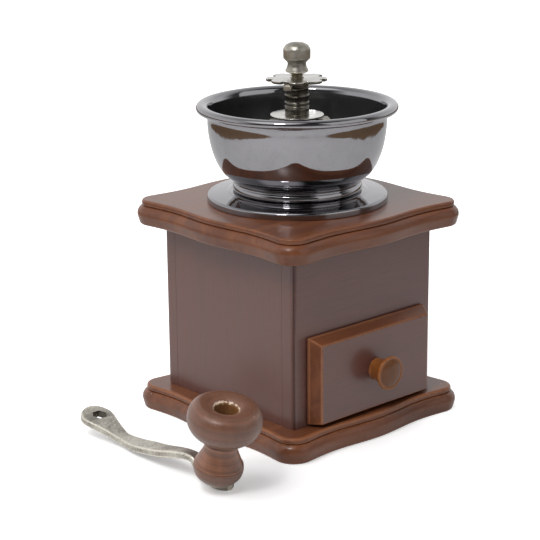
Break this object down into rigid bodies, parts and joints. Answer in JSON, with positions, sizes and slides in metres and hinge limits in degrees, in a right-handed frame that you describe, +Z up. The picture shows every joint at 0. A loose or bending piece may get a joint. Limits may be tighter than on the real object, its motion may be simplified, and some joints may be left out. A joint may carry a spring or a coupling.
{
  "type": "manual coffee grinder",
  "caption": "Hand cranked box coffee grinder: wooden case with drawer, metal hopper over a conical burr, crank lying beside it.",
  "frame": {"origin": "on the floor, under the middle of the base board and the drive shaft", "axes": "+Z up along the drive shaft, -Y out of the drawer's side, the crank lies at -X"},
  "size_m": [0.1888, 0.1448, 0.1988],
  "materials": {
    "walnut": "satin lacquered walnut",
    "amber_wood": "lacquered amber wood",
    "raw_wood": "bare wood",
    "black_nickel": "black nickel mirror",
    "nickel": "satin nickel",
    "cast_iron": "ground cast iron",
    "steel": "plain steel"
  },
  "bodies": {
    "case": {"base_board": "walnut", "top_board": "walnut", "front_panel": "walnut", "back_wall": "walnut", "left_wall": "walnut", "right_wall": "walnut", "under_screw_1": "steel", "under_screw_2": "steel", "under_screw_3": "steel", "under_screw_4": "steel", "deck_screw_1": "steel", "deck_screw_2": "steel", "deck_screw_3": "steel", "deck_screw_4": "steel", "hopper_flange": "black_nickel", "hopper_bowl": "black_nickel", "bridge": "nickel", "bridge_screw_1": "steel", "bridge_screw_2": "steel", "bridge_screw_3": "steel", "sleeve": "nickel", "outer_burr": "cast_iron", "burr_spring": "steel"},
    "drawer": {"drawer_front": "walnut", "drawer_left_side": "raw_wood", "drawer_right_side": "raw_wood", "drawer_back": "raw_wood", "drawer_bottom": "raw_wood", "drawer_knob": "amber_wood", "drawer_knob_screw": "steel"},
    "spring_seat": {"spring_washer": "steel"},
    "shaft": {"drive_shaft": "steel", "inner_burr": "cast_iron", "burr_washer": "steel", "burr_nut": "steel"},
    "cap_nut": {"cap_nut": "nickel"},
    "star_wheel": {"star_wheel": "nickel", "lock_tab": "nickel"},
    "crank": {"crank_arm": "nickel", "crank_spindle": "steel"},
    "crank_knob": {"crank_knob": "walnut"}
  },
  "joints": [
    {"name": "drawer_slide", "type": "slide", "parent": "case", "child": "drawer", "axis": [0, -1, 0], "range_m": [0, 0.085]},
    {"name": "star_turn", "type": "hinge", "parent": "case", "child": "star_wheel", "pos_m": [0, 0, 0.18], "axis": [0, 0, 1], "range_deg": [0, 720]},
    {"name": "burr_height", "type": "slide", "parent": "case", "child": "spring_seat", "axis": [0, 0, 1], "range_m": [-0.00205, 0], "deforming": ["burr_spring"]},
    {"name": "shaft_spin", "type": "hinge", "parent": "spring_seat", "child": "shaft", "pos_m": [0, 0, 0.1], "axis": [0, 0, 1], "continuous": true},
    {"name": "cap_nut_lift", "type": "slide", "parent": "shaft", "child": "cap_nut", "axis": [0, 0, 1], "range_m": [0, 0.03]},
    {"name": "crank_lift", "type": "slide", "parent": "case", "child": "crank", "axis": [0, 0, 1], "range_m": [0, 0.2]},
    {"name": "knob_spin", "type": "hinge", "parent": "crank", "child": "crank_knob", "pos_m": [-0.10616, -0.05976, 0.02514], "axis": [-0.0051, -0.2078, 0.9781], "continuous": true}
  ],
  "couplings": [
    {"joint": "burr_height", "follows": "star_turn", "m_per_rad": -0.00015915}
  ]
}
